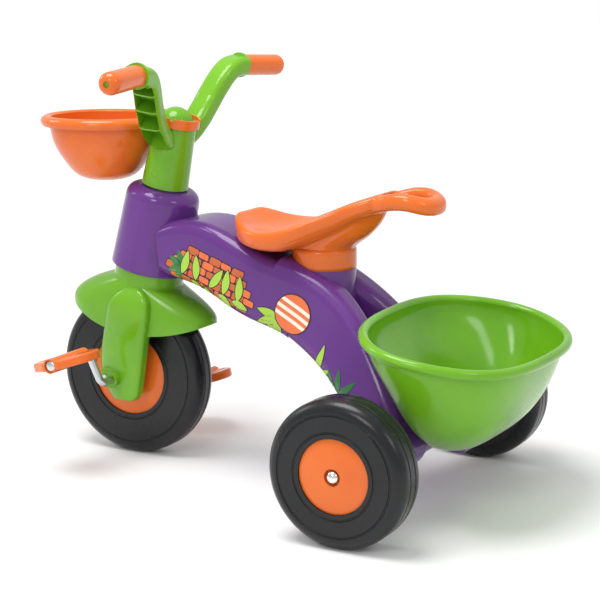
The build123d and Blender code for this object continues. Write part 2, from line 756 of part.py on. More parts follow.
# Bearing clips that hold the crank rod in the fork ends, each with one screw.
for name, side in (("left", 1), ("right", -1)):
    inner_x = side * (leg_inner_x + leg_thickness - 2 + seated_gap)
    with BuildPart() as axle_clip:
        with BuildSketch(along_x(inner_x, *front_centre[1:])):
            with Locations((clip_plate_y, 0)):
                RectangleRounded(clip_plate_length, 2 * clip_half_height, 3)
        extrude(amount=side * 4)
        with BuildSketch(along_x(inner_x, *front_centre[1:])):
            Circle(crank_radius + 4)
        extrude(amount=side * (clip_outer_x - abs(inner_x)))
        with BuildSketch(along_x(inner_x, *front_centre[1:])):
            Circle(crank_radius + running_gap)
            with Locations((clip_screw_y, 0)):
                Circle(clip_screw_radius + 0.1)
        extrude(amount=side * 30, mode=Mode.SUBTRACT)
    save(axle_clip, "axle_clip_" + name)

clip_face_x = leg_inner_x + leg_thickness + 2 + seated_gap
with BuildPart() as clip_screws:
    for side in (1, -1):
        with BuildSketch(along_x(side * (clip_face_x + seated_gap), front_axle_y + clip_screw_y, front_wheel_radius)):
            Circle(clip_screw_head - 1)
        extrude(amount=side * screw_head_height)
        with BuildSketch(along_x(side * (clip_face_x + seated_gap), front_axle_y + clip_screw_y, front_wheel_radius)):
            Circle(clip_screw_radius - 0.1)
        extrude(amount=-side * 14)
save(clip_screws, "clip_screws")

# ---------------------------------------------------------------- seat
post_y = rear_axle_y + seat_post_y
collar_top_z = collar_low_z + collar_height
spigot_radius = collar_radius - 5.0
spigot_height = 18.0
# Seat top along the middle: distance from the rear axle, height above the ground.
seat_top_line = ((-264, 333), (-240, 336), (-200, 329), (-164, 323), (-130, 327), (-97, 341), (-65, 359),
                 (-35, 373), (0, 379), (34, 374))
# Thickness of the seat at each of those places.
seat_depths = (13, 17, 21, 21, 20, 20, 20, 20, 20, 19)
# Seat plan: half width, distance from the rear axle.
seat_plan = ((45, -251), (74, -224), (80, -185), (70, -137), (52, -94), (37, -55), (33, -15), (25, 14))
seat_nose = -258.0
seat_tail = 27.0
void_end = -64.0


def seat_slab(inset):
    """Seat and carry handle: the plan outline cut to the side profile, drawn in by inset."""
    side_plane = Plane(origin=(0, rear_axle_y, 0), x_dir=(0, 1, 0), z_dir=(1, 0, 0))
    right_side = [(half - inset, y) for half, y in seat_plan]
    left_side = [(-x, y) for x, y in reversed(right_side)]
    top = [(y, z - inset) for y, z in seat_top_line]
    low = [(y, z - deep + inset) for (y, z), deep in zip(reversed(seat_top_line), reversed(seat_depths))]
    with BuildPart() as slab:
        with BuildSketch(Plane(origin=(0, rear_axle_y, 200), z_dir=(0, 0, 1))):
            with BuildLine():
                Spline((0, seat_nose + inset), *right_side, (0, seat_tail - inset), *left_side, periodic=True)
            make_face()
        extrude(amount=260)
        with BuildSketch(side_plane):
            with BuildLine():
                Spline(*top)
                Line(top[-1], low[0])
                Spline(*low)
                Line(low[-1], top[0])
            make_face()
        extrude(amount=120, both=True, mode=Mode.INTERSECT)
    return slab.part


def seat_funnel(inset):
    """Funnel from the collar up into the seat, cut off at the seat top."""
    side_plane = Plane(origin=(0, rear_axle_y, 0), x_dir=(0, 1, 0), z_dir=(1, 0, 0))
    top = [(y, z - inset - 1.0) for y, z in seat_top_line]
    with BuildPart() as funnel:
        with BuildSketch(Plane.XY.offset(collar_top_z - 4)):
            with Locations((0, post_y)):
                Circle(collar_radius - 2.5 - inset)
        with BuildSketch(Plane.XY.offset(collar_top_z + 22)):
            with Locations((0, post_y + 8)):
                Ellipse(collar_radius - 2 - inset, collar_radius + 8 - inset)
        with BuildSketch(Plane.XY.offset(collar_top_z + 56)):
            with Locations((0, post_y + 26)):
                Ellipse(collar_radius - 6 - inset, collar_radius + 26 - inset)
        loft()
        with BuildSketch(side_plane):
            with BuildLine():
                Spline(*top)
                Polyline(top[-1], (top[-1][0], 200), (top[0][0], 200), top[0])
            make_face()
        extrude(amount=120, both=True, mode=Mode.INTERSECT)
    return funnel.part


# Lowest line of the dish in the seat: distance from the rear axle, height above the ground.
dish_line = ((-280, 331), (-240, 331), (-200, 324), (-164, 318), (-130, 323), (-97, 338.5), (-72, 360), (-50, 380))
dish_half_width = 62.0
dish_rise = 10.0


def seat_dish(drop):
    """Shallow trough along the seat, lowered by drop."""
    with BuildLine() as path:
        Spline(*[Vector(0, rear_axle_y + y, z - drop) for y, z in dish_line])
    with BuildPart() as dish:
        with BuildSketch(Plane(origin=path.line @ 0, x_dir=(1, 0, 0), z_dir=path.line % 0)):
            with BuildLine():
                ThreePointArc((-dish_half_width, -dish_rise), (0, 0), (dish_half_width, -dish_rise))
                Line((dish_half_width, -dish_rise), (-dish_half_width, -dish_rise))
            make_face()
        sweep(path=path.wires()[0])
    return dish.part


with BuildPart() as seat_void:
    add(seat_slab(skin))
    add(seat_funnel(skin))
    add(seat_dish(skin), mode=Mode.SUBTRACT)
    with Locations((0, rear_axle_y + void_end + 100, collar_top_z)):
        Box(400, 200, 400, mode=Mode.SUBTRACT)

with BuildPart() as seat:
    add(seat_slab(0))
    fillet(seat.edges().filter_by(lambda e: e.length > 150), seat_round)
    add(seat_dish(0), mode=Mode.SUBTRACT)
    add(seat_funnel(0))
    with BuildSketch(Plane.XY.offset(collar_low_z)):
        with Locations((0, post_y)):
            Circle(collar_radius)
    extrude(amount=collar_height)
    add(seat_void.part, mode=Mode.SUBTRACT)
    with BuildSketch(Plane.XY.offset(collar_low_z)):
        with Locations((0, post_y)):
            Circle(spigot_radius + seated_gap)
    extrude(amount=collar_height, mode=Mode.SUBTRACT)
    with BuildSketch(Plane.XY.offset(collar_low_z)):
        with Locations((0, rear_axle_y + loop_hole_y)):
            SlotOverall(loop_hole_length, loop_hole_width, rotation=90)
    extrude(amount=150, mode=Mode.SUBTRACT)
save(seat, "seat")

# ---------------------------------------------------------------- frame
# Stations of the arched body, from the rear axle: y, z, half width, height, slope of the centre line.
beam_stations = (
    (-350, 286, 46, 62, 0.10), (-300, 286, 50, 82, -0.02), (-262, 276, 53, 84, -0.22),
    (-222, 258, 56, 84, -0.42), (-178, 244, 58, 86, -0.46), (-138, 229, 58, 86, -0.56),
)
# Stations of one rear leg: y, z, centre x, width, height, slope.
leg_stations = (
    (-185, 254, 29, 54, 84, -0.45), (-125, 226, 34, 50, 90, -0.62), (-84, 197, 45, 46, 84, -0.80),
    (-57, 171, 57, 44, 76, -1.0), (-34, 143, 67, 45, 70, -1.35), (-8, 98, 77, 46, 60, -2.6),
)


def station_plane(x, y, z, slope):
    """Section plane square to a centre line that rises by slope along +Y."""
    return Plane(origin=(x, rear_axle_y + y, z), x_dir=(1, 0, 0), z_dir=Vector(0, 1, slope))


def frame_body(inset):
    """Head housing, arched body, two legs and the axle housing, drawn in by inset."""
    corner = 17.0 - inset
    with BuildPart() as body:
        with BuildSketch(head_plane.offset(inset)):
            Circle(head_low_radius - inset)
        with BuildSketch(head_plane.offset(head_length - inset)):
            Circle(head_top_radius - inset)
        loft()
        if inset == 0:
            rims = body.edges().filter_by(GeomType.CIRCLE).sort_by(Axis.Z)
            fillet(rims[-1], head_shoulder)
            fillet(body.edges().filter_by(GeomType.CIRCLE).sort_by(Axis.Z)[0], 3)
        else:
            fillet(body.edges().filter_by(GeomType.CIRCLE).sort_by(Axis.Z)[-1], head_shoulder - inset)
    with BuildPart() as beam:
        for y, z, half, height, slope in beam_stations:
            with BuildSketch(station_plane(0, y, z, slope)):
                RectangleRounded(2 * (half - inset), height - 2 * inset, corner)
        loft()
    with BuildPart() as legs:
        for side in (1, -1):
            with BuildPart(mode=Mode.PRIVATE) as leg:
                for y, z, x, width, height, slope in leg_stations:
                    with BuildSketch(station_plane(side * x, y, z, slope)):
                        RectangleRounded(width - 2 * inset, height - 2 * inset, corner)
                loft()
            add(leg.part)
    with BuildPart() as housing:
        with BuildSketch(along_x(-foot_half_span + inset, rear_axle_y, rear_wheel_radius)):
            Circle(housing_radius - inset)
        extrude(amount=2 * (foot_half_span - inset))
        for side in (1, -1):
            foot_start = side * (foot_half_span - 48 + inset)
            with BuildSketch(along_x(foot_start, rear_axle_y, rear_wheel_radius)):
                Circle(foot_radius - inset)
            extrude(amount=side * (48 - 2 * inset))
            with BuildSketch(along_x(side * (foot_half_span - inset), rear_axle_y, rear_wheel_radius)):
                Circle(foot_radius - inset)
            with BuildSketch(along_x(side * (housing_half_span - inset), rear_axle_y, rear_wheel_radius)):
                Circle(housing_end_radius - inset)
            loft()
    with BuildPart() as whole:
        add(body.part)
        add(beam.part)
        add(legs.part)
        add(housing.part)
    return whole.part


bush_radius = steerer_radius + running_gap + bush_wall
with BuildPart() as posted_body:
    add(frame_body(0))
    with BuildSketch(Plane.XY.offset(collar_low_z)):
        with Locations((0, post_y)):
            Circle(post_radius)
    extrude(amount=-post_depth)
outer_body = posted_body.part

with BuildPart() as main_frame:
    add(outer_body)
    with BuildSketch(Plane.XY.offset(collar_low_z)):
        with Locations((0, post_y)):
            Circle(spigot_radius)
    extrude(amount=spigot_height)
    with BuildSketch(Plane.XY.offset(collar_low_z)):
        with Locations((0, post_y)):
            Circle(collar_radius + turning_gap)
            Circle(spigot_radius, mode=Mode.SUBTRACT)
    extrude(amount=40, mode=Mode.SUBTRACT)
    with BuildSketch(shelf_plane):
        with Locations((0, shelf_middle - 12)):
            RectangleRounded(shelf_width, 56, 12)
    extrude(amount=-shelf_thickness)
    with BuildSketch(shelf_plane):
        with Locations(*basket_screw_places):
            Circle(screw_radius)
    extrude(amount=-screw_length, mode=Mode.SUBTRACT)
    with BuildSketch(head_plane):
        Circle(bush_radius + skin)
    extrude(amount=head_length)
    with BuildSketch(head_plane):
        Circle(bush_radius + seated_gap)
    extrude(amount=head_length, mode=Mode.SUBTRACT)
    with BuildSketch(along_x(-housing_half_span, rear_axle_y, rear_wheel_radius)):
        Circle(axle_tube_radius)
    extrude(amount=2 * housing_half_span)
    with BuildSketch(along_x(-housing_half_span, rear_axle_y, rear_wheel_radius)):
        Circle(rear_rod_radius + seated_gap)
    extrude(amount=2 * housing_half_span, mode=Mode.SUBTRACT)
save(main_frame, "main_frame")

# ---------------------------------------------------------------- bushes and lock screw
for name, plane, inward in (
    ("steering_bush_upper", head_plane.offset(head_length), -1), ("steering_bush_lower", head_plane, 1),
):
    with BuildPart() as bush:
        with BuildSketch(plane.offset(-inward * seated_gap)):
            Circle(bush_radius)
        extrude(amount=inward * (bush_length + seated_gap))
        with BuildSketch(plane.offset(-inward * seated_gap)):
            Circle(bush_radius + bush_flange)
        extrude(amount=-inward * bush_flange_height)
        with BuildSketch(plane.offset(-inward * 5)):
            Circle(steerer_radius + running_gap)
        extrude(amount=inward * (bush_length + 10), mode=Mode.SUBTRACT)
    save(bush, name)

lock_start_x = steerer_radius - steerer_wall
with BuildPart() as stem_screw:
    with BuildSketch(lock_plane.offset(lock_head_x)):
        Circle(lock_head_radius)
    extrude(amount=screw_head_height)
    with BuildSketch(lock_plane.offset(lock_start_x)):
        Circle(screw_radius)
    extrude(amount=lock_head_x - lock_start_x)
save(stem_screw, "stem_screw")
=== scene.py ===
"""Pedal tricycle of moulded plastic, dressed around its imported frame."""

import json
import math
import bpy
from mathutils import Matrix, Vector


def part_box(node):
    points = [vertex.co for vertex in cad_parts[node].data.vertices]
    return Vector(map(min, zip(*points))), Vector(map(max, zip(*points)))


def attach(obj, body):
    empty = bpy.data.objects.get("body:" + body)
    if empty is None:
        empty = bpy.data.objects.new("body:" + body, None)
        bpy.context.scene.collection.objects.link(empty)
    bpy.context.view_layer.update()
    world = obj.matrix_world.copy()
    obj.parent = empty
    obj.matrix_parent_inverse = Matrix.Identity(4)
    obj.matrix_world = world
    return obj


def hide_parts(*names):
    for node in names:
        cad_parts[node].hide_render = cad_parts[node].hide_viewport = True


bl_info = {
    "name": "Moulded pedal tricycle",
    "version": (1, 0, 0),
    "blender": (4, 5, 0),
    "location": "3D View > Sidebar > Tricycle",
    "description": "Finishes the pieces of a moulded plastic pedal tricycle",
    "category": "Object",
}

import bmesh
import bpy
from bpy.props import FloatProperty, FloatVectorProperty, PointerProperty
from mathutils import Matrix, Vector
from mathutils.bvhtree import BVHTree

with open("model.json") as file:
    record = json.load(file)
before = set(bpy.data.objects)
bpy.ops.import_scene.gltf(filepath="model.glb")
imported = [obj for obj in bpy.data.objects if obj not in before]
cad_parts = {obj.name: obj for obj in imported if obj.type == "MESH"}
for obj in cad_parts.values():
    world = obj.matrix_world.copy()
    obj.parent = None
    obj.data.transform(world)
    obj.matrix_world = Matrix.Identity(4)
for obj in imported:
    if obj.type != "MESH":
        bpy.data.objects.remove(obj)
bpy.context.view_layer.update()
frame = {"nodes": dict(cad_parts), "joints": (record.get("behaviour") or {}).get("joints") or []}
NODES = frame["nodes"]
JOINTS = {joint["name"]: joint for joint in frame["joints"]}


# ---------------------------------------------------------------- settings
def colour(name, description, default):
    """Colour property in linear light."""
    return FloatVectorProperty(name=name, description=description, default=default,
                               subtype="COLOR", size=3, min=0.0, max=1.0)


class TricycleColours(bpy.types.PropertyGroup):
    """Colours of the moulded plastics and the printed shapes."""
    purple: colour("Frame", "Plastic of the frame", (0.120, 0.030, 0.215))
    purple_deep: colour("Frame, deep", "Darker streaks in the frame plastic", (0.098, 0.024, 0.185))
    green: colour("Green", "Plastic of the fork, handlebar and bucket", (0.150, 0.400, 0.012))
    green_deep: colour("Green, deep", "Darker streaks in the green plastic", (0.115, 0.330, 0.010))
    orange: colour("Orange", "Plastic of the saddle, basket, hubs and pedals", (0.74, 0.150, 0.018))
    orange_deep: colour("Orange, deep", "Darker streaks in the orange plastic", (0.66, 0.115, 0.012))
    black: colour("Tyres", "Plastic of the tyres", (0.010, 0.0105, 0.012))
    black_deep: colour("Tyres, deep", "Darker streaks in the tyre plastic", (0.006, 0.0065, 0.0075))
    brick: colour("Print, brick", "Bricks of the side print", (0.80, 0.17, 0.05))
    leaf: colour("Print, leaf", "Leaves of the side print", (0.03, 0.20, 0.05))
    lime: colour("Print, lime", "Light shapes of the side print", (0.38, 0.62, 0.06))
    ink: colour("Print, ink", "Outlines of the side print", (0.03, 0.012, 0.02))


class TricycleFinish(bpy.types.PropertyGroup):
    """Surface quality of the pieces."""
    gloss: FloatProperty(name="Gloss roughness", description="Roughness of clean moulded plastic",
                         default=0.16, min=0.02, max=0.9)
    smudge: FloatProperty(name="Smudges", description="Extra roughness in handled patches",
                          default=0.10, min=0.0, max=0.5)
    ripple: FloatProperty(name="Ripple", description="Height of the moulding ripple",
                          default=0.00010, min=0.0, max=0.002, unit="LENGTH")
    dust: FloatProperty(name="Dust", description="Dust that lies on upward faces",
                        default=0.02, min=0.0, max=1.0)
    print_lift: FloatProperty(name="Print lift", description="Height of the print over the plastic",
                              default=0.00012, min=0.00002, max=0.001, unit="LENGTH")
    print_cell: FloatProperty(name="Print cell", description="Largest cell of a printed shape",
                              default=0.004, min=0.001, max=0.02, unit="LENGTH")


class TricycleFork(bpy.types.PropertyGroup):
    """Sizes of the fork and its skirt."""
    neck_radius: FloatProperty(name="Neck radius", description="Radius of the neck under the head",
                               default=0.0445, unit="LENGTH")
    neck_height: FloatProperty(name="Neck foot", description="Height of the foot of the neck",
                               default=0.2375, unit="LENGTH")
    skirt_half_width: FloatProperty(name="Skirt half width", description="Across the wheel",
                                    default=0.0475, unit="LENGTH")
    skirt_half_length: FloatProperty(name="Skirt half length", description="Along the wheel",
                                     default=0.1078, unit="LENGTH")
    skirt_centre: FloatProperty(name="Skirt middle", description="Middle of the skirt along the tricycle",
                                default=-0.2165, unit="LENGTH")
    skirt_rim: FloatProperty(name="Skirt rim", description="Height of the middle of the rim plane",
                             default=0.1956, unit="LENGTH")
    skirt_slope: FloatProperty(name="Skirt slope", description="Fall of the rim towards the rider",
                               default=0.085)
    skirt_droop: FloatProperty(name="Skirt droop", description="How far the rim hangs lower at the sides",
                               default=0.025, unit="LENGTH")
    wall: FloatProperty(name="Wall", description="Thickness of the skirt", default=0.0032, unit="LENGTH")


class TricycleStage(bpy.types.PropertyGroup):
    """Camera, floor and lights."""
    azimuth: FloatProperty(name="Azimuth", description="Camera angle round the tricycle",
                           default=math.radians(118.71), subtype="ANGLE")
    elevation: FloatProperty(name="Elevation", description="Camera angle above the ground",
                             default=math.radians(11.71), subtype="ANGLE")
    distance: FloatProperty(name="Distance", description="Camera distance from its aim",
                            default=2.1069, min=0.5, max=10.0, unit="LENGTH")
    aim: FloatVectorProperty(name="Aim", description="Point that the camera looks at",
                             default=(-0.0061, 0.0152, 0.2291), subtype="TRANSLATION")
    lens: FloatProperty(name="Lens", description="Focal length in millimetres",
                        default=100.07, min=20.0, max=300.0)
    key: FloatProperty(name="Key light", description="Power of the large overhead softbox",
                       default=36.0, min=0.0, max=500.0)
    fill: FloatProperty(name="Fill light", description="Power of the softbox by the camera",
                        default=13.0, min=0.0, max=500.0)
    sky: FloatProperty(name="Room light", description="Strength of the even room light",
                       default=0.70, min=0.0, max=5.0)


# ---------------------------------------------------------------- node helpers
def add_node(tree, kind, sockets=None, **settings):
    """Add one node; a socket value is a number, a colour or another node's output."""
    node = tree.nodes.new(kind)
    for key, value in settings.items():
        setattr(node, key, value)
    for key, value in (sockets or {}).items():
        if isinstance(value, bpy.types.NodeSocket):
            tree.links.new(value, node.inputs[key])
        else:
            node.inputs[key].default_value = value
    return node


def new_group(name, inputs, outputs):
    """Empty shader group with named sockets, its input node and its output node."""
    tree = bpy.data.node_groups.new(name, "ShaderNodeTree")
    for label, kind, default in inputs:
        socket = tree.interface.new_socket(label, in_out="INPUT", socket_type="NodeSocket" + kind)
        socket.default_value = default
    for label, kind in outputs:
        tree.interface.new_socket(label, in_out="OUTPUT", socket_type="NodeSocket" + kind)
    return tree, tree.nodes.new("NodeGroupInput"), tree.nodes.new("NodeGroupOutput")


def noise(tree, point, scale, detail=2.0, roughness=0.5):
    """Noise value at a point."""
    return add_node(tree, "ShaderNodeTexNoise", {
        "Vector": point, "Scale": scale, "Detail": detail, "Roughness": roughness}).outputs["Fac"]


def remap(tree, value, low, high, to_low=0.0, to_high=1.0):
    """Value moved from one range to another and kept inside it."""
    return add_node(tree, "ShaderNodeMapRange", {
        "Value": value, "From Min": low, "From Max": high, "To Min": to_low, "To Max": to_high,
    }).outputs["Result"]


def mixed(tree, share, first, second):
    """Colour between two colours."""
    return add_node(tree, "ShaderNodeMix", {0: share, 6: first, 7: second},
                    data_type="RGBA").outputs[2]


def math_node(tree, operation, first, second):
    """Result of one sum on two values."""
    return add_node(tree, "ShaderNodeMath", {0: first, 1: second}, operation=operation).outputs[0]


def moulded_group():
    """Streaks, smudges, fine scratches and ripple of moulded plastic."""
    if "moulded_surface" in bpy.data.node_groups:
        return bpy.data.node_groups["moulded_surface"]
    tree, start, end = new_group(
        "moulded_surface",
        (("Colour", "Color", (0.5, 0.5, 0.5, 1)), ("Streak Colour", "Color", (0.4, 0.4, 0.4, 1)),
         ("Gloss", "Float", 0.16), ("Smudge", "Float", 0.1), ("Ripple", "Float", 0.0001),
         ("Grain", "Float", 0.2)),
        (("Colour", "Color"), ("Roughness", "Float"), ("Normal", "Vector")),
    )
    point = add_node(tree, "ShaderNodeTexCoord").outputs["Object"]
    broad = noise(tree, point, 9.0, 3.0)
    colour_share = remap(tree, broad, 0.42, 0.72)
    tint = mixed(tree, colour_share, start.outputs["Colour"], start.outputs["Streak Colour"])
    handled = remap(tree, noise(tree, point, 24.0, 4.0, 0.6), 0.5, 0.75)
    stretch = add_node(tree, "ShaderNodeMapping", {
        "Vector": point, "Rotation": (0.4, 0.9, 0.2), "Scale": (1.0, 14.0, 1.0)})
    scratch = remap(tree, noise(tree, stretch.outputs["Vector"], 90.0, 2.0), 0.70, 0.74)
    worn = math_node(tree, "MULTIPLY", handled, start.outputs["Smudge"])
    scuffed = math_node(tree, "MULTIPLY", scratch, start.outputs["Smudge"])
    rough = math_node(tree, "ADD", math_node(tree, "ADD", start.outputs["Gloss"], worn), scuffed)
    slow = noise(tree, point, 34.0, 1.0)
    fine = noise(tree, point, 1400.0, 2.0)
    grain = math_node(tree, "MULTIPLY", fine, start.outputs["Grain"])
    height = math_node(tree, "MULTIPLY", math_node(tree, "ADD", slow, grain), start.outputs["Ripple"])
    bump = add_node(tree, "ShaderNodeBump", {"Height": height, "Distance": 1.0, "Strength": 1.0})
    tree.links.new(tint, end.inputs["Colour"])
    tree.links.new(rough, end.inputs["Roughness"])
    tree.links.new(bump.outputs["Normal"], end.inputs["Normal"])
    return tree


def dust_group():
    """Pale dust on faces that look up."""
    if "settled_dust" in bpy.data.node_groups:
        return bpy.data.node_groups["settled_dust"]
    tree, start, end = new_group(
        "settled_dust",
        (("Colour", "Color", (0.5, 0.5, 0.5, 1)), ("Dust Colour", "Color", (0.75, 0.73, 0.7, 1)),
         ("Amount", "Float", 0.05), ("Roughness", "Float", 0.2)),
        (("Colour", "Color"), ("Roughness", "Float")),
    )
    geometry = add_node(tree, "ShaderNodeNewGeometry")
    up = add_node(tree, "ShaderNodeSeparateXYZ", {"Vector": geometry.outputs["Normal"]}).outputs["Z"]
    point = add_node(tree, "ShaderNodeTexCoord").outputs["Object"]
    patch = remap(tree, noise(tree, point, 60.0, 5.0, 0.65), 0.35, 0.75)
    lying = remap(tree, up, 0.2, 1.0)
    mask = math_node(tree, "MULTIPLY", math_node(tree, "MULTIPLY", patch, lying), start.outputs["Amount"])
    tint = mixed(tree, mask, start.outputs["Colour"], start.outputs["Dust Colour"])
    rough = math_node(tree, "ADD", start.outputs["Roughness"], mask)
    tree.links.new(tint, end.inputs["Colour"])
    tree.links.new(rough, end.inputs["Roughness"])
    return tree


PLASTIC_SHEEN = 0.34
COAT_ROUGHNESS = 0.06


def rgba(value):
    """Colour with full opacity."""
    return (*value, 1.0)


def plastic(name, main, streak, gloss=None, grain=0.2, ripple=1.0, coat=0.12, smudge=1.0):
    """Moulded plastic from its main colour and its streak colour."""
    if name in bpy.data.materials:
        return bpy.data.materials[name]
    finish = bpy.context.scene.tricycle_finish
    material = bpy.data.materials.new(name)
    material.use_nodes = True
    tree = material.node_tree
    shader = tree.nodes["Principled BSDF"]
    surface = add_node(tree, "ShaderNodeGroup", node_tree=moulded_group())
    surface.inputs["Colour"].default_value = rgba(main)
    surface.inputs["Streak Colour"].default_value = rgba(streak)
    surface.inputs["Gloss"].default_value = finish.gloss if gloss is None else gloss
    surface.inputs["Smudge"].default_value = finish.smudge * smudge
    surface.inputs["Ripple"].default_value = finish.ripple * ripple
    surface.inputs["Grain"].default_value = grain
    dust = add_node(tree, "ShaderNodeGroup", node_tree=dust_group())
    dust.inputs["Amount"].default_value = finish.dust
    tree.links.new(surface.outputs["Colour"], dust.inputs["Colour"])
    tree.links.new(surface.outputs["Roughness"], dust.inputs["Roughness"])
    tree.links.new(dust.outputs["Colour"], shader.inputs["Base Color"])
    tree.links.new(dust.outputs["Roughness"], shader.inputs["Roughness"])
    tree.links.new(surface.outputs["Normal"], shader.inputs["Normal"])
    shader.inputs["Coat Weight"].default_value = coat
    shader.inputs["Specular IOR Level"].default_value = PLASTIC_SHEEN
    shader.inputs["Coat Roughness"].default_value = COAT_ROUGHNESS
    return material


def metal(name, main, streak, gloss):
    """Turned and plated metal with fine lines and light tarnish."""
    material = plastic(name, main, streak, gloss=gloss, grain=0.6, ripple=0.5, coat=0.0, smudge=1.6)
    material.node_tree.nodes["Principled BSDF"].inputs["Metallic"].default_value = 1.0
    return material


def finish_nodes(names, material):
    """Give a material to CAD nodes that keep their own shape."""
    for name in names:
        for slot in NODES[name].material_slots:
            slot.material = material


def green_plastic():
    """Plastic of the fork, handlebar and bucket."""
    tints = bpy.context.scene.tricycle_colours
    return plastic("green_moulded", tints.green, tints.green_deep)


def orange_plastic():
    """Plastic of the saddle, basket, hubs and pedals."""
    tints = bpy.context.scene.tricycle_colours
    return plastic("orange_moulded", tints.orange, tints.orange_deep)


def purple_plastic():
    """Plastic of the frame."""
    tints = bpy.context.scene.tricycle_colours
    return plastic("purple_moulded", tints.purple, tints.purple_deep)


# ---------------------------------------------------------------- mesh helpers
MERGE_DISTANCE = 0.00002


def piece_from(bm, name, material, body, smooth=True, flat=False):
    """Turn a finished bmesh into a piece that rides on a body; a flat one faces +X."""
    bmesh.ops.remove_doubles(bm, verts=bm.verts, dist=MERGE_DISTANCE)
    bmesh.ops.recalc_face_normals(bm, faces=bm.faces)
    if flat:
        bmesh.ops.reverse_faces(bm, faces=[face for face in bm.faces if face.normal.x < 0])
    mesh = bpy.data.meshes.new(name)
    bm.to_mesh(mesh)
    bm.free()
    for face in mesh.polygons:
        face.use_smooth = smooth
    mesh.materials.append(material)
    piece = bpy.data.objects.new(name, mesh)
    bpy.context.scene.collection.objects.link(piece)
    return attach(piece, body)


def steer_point(height):
    """Point of the steering axis at a height above the ground."""
    origin, axis = (Vector(JOINTS["steering"][key]) for key in ("pos_m", "axis"))
    return origin + axis * ((height - origin.z) / axis.z)


def rounded(angle, half_x, half_y, power):
    """Point of a rounded oval at an angle; a higher power is squarer."""
    cos, sin = math.cos(angle), math.sin(angle)
    return (math.copysign(abs(cos) ** (2 / power), cos) * half_x,
            math.copysign(abs(sin) ** (2 / power), sin) * half_y)


def between(value, table):
    """Smooth value from a short table of (place, value) pairs."""
    if value <= table[0][0]:
        return table[0][1]
    if value >= table[-1][0]:
        return table[-1][1]
    index = next(place for place in range(1, len(table)) if value <= table[place][0])
    (low, first), (high, second) = table[index - 1], table[index]
    before, after = table[max(index - 2, 0)], table[min(index + 1, len(table) - 1)]
    gap = high - low
    leave = (second - before[1]) / (high - before[0]) * gap
    arrive = (after[1] - first) / (after[0] - low) * gap
    share = (value - low) / gap
    square, cube = share ** 2, share ** 3
    return ((2 * cube - 3 * square + 1) * first + (cube - 2 * square + share) * leave
            + (3 * square - 2 * cube) * second + (cube - square) * arrive)


def tube_rings(segments, rings, capped):
    """Unit tube from z 0 to 1, cut into rings, ready to be shaped."""
    bm = bmesh.new()
    bmesh.ops.create_cone(bm, cap_ends=capped, segments=segments, radius1=1, radius2=1, depth=1,
                          matrix=Matrix.Translation((0, 0, 0.5)))
    upright = [edge for edge in bm.edges if abs(edge.verts[0].co.z - edge.verts[1].co.z) > 0.5]
    bmesh.ops.subdivide_edges(bm, edges=upright, cuts=rings - 1, use_grid_fill=True)
    return bm


# ---------------------------------------------------------------- pieces
class TRIKE_OT_frame(bpy.types.Operator):
    """Finish the blown frame and its bushes"""
    bl_idname = "trike.frame"
    bl_label = "Frame"

    def execute(self, context):
        finish_nodes(["main_frame"], purple_plastic())
        bush = plastic("bush_moulded", (0.72, 0.72, 0.70), (0.6, 0.6, 0.58), gloss=0.4, coat=0.0)
        finish_nodes(["steering_bush_upper", "steering_bush_lower", "axle_washer_left",
                      "axle_washer_right"], bush)
        return {"FINISHED"}


# ---------------------------------------------------------------- side print
def leaf_outline(base, length, width, angle, bend=0.0, grow=0.0):
    """Pointed leaf from its stalk end, as (along, up) points in metres."""
    steps = 14
    run = length + 2 * grow
    points = []
    for index in range(2 * steps):
        share = index / steps if index < steps else 2 - index / steps
        side = 1 if index < steps else -1
        swell = math.sin(math.pi * share) ** 0.8 * (1 - 0.25 * share)
        along = share * run - grow
        across = side * (width / 2 + grow) * swell + bend * length * share * share
        points.append((base[0] + along * math.cos(angle) - across * math.sin(angle),
                       base[1] + along * math.sin(angle) + across * math.cos(angle)))
    return points


def brick_outline(middle, width, height, angle, skew=0.0, grow=0.0):
    """Worn brick with cut corners, as (along, up) points in metres."""
    half, rise = width / 2 + grow, height / 2 + grow
    cut = min(half, rise) * 0.35
    corners = ((-half + cut, -rise), (half - cut, -rise), (half, -rise + cut), (half + skew, rise - cut),
               (half - cut + skew, rise), (-half + cut + skew, rise), (-half + skew, rise - cut),
               (-half, -rise + cut))
    return [(middle[0] + x * math.cos(angle) - y * math.sin(angle),
             middle[1] + x * math.sin(angle) + y * math.cos(angle)) for x, y in corners]


def ball_outline(middle, radius, grow=0.0, low=-1.0, high=1.0, angle=0.0):
    """Band of a ball between two heights, each a share of its radius."""
    size = radius + grow
    start, stop = math.asin(max(low, -1)), math.asin(min(high, 1))
    arc = [start + (stop - start) * index / 12 for index in range(13)]
    ring = [(math.cos(turn), math.sin(turn)) for turn in arc]
    ring += [(-x, y) for x, y in reversed(ring)]
    points = [(middle[0] + size * (x * math.cos(angle) - y * math.sin(angle)),
               middle[1] + size * (x * math.sin(angle) + y * math.cos(angle))) for x, y in ring]
    return [point for index, point in enumerate(points) if math.dist(point, points[index - 1]) > 1e-5]


WALL_MIDDLE = (-0.081, 0.2560)
WALL_SLOPE = math.radians(-17.7)
WALL_HALF_LENGTH, WALL_HALF_HEIGHT = 0.062, 0.030
WALL_ROWS, WALL_COLUMNS = 6, 8
BRICK_PITCH, ROW_PITCH = 0.0178, 0.0098
BRICK_LENGTH, BRICK_HEIGHT = 0.0160, 0.0084
BRICK_WOBBLE = 0.0008
SIDE_LIMIT = 0.35               # least sideways share of a face that takes the print
PRINT_START = 0.3               # the print is laid on from this far out


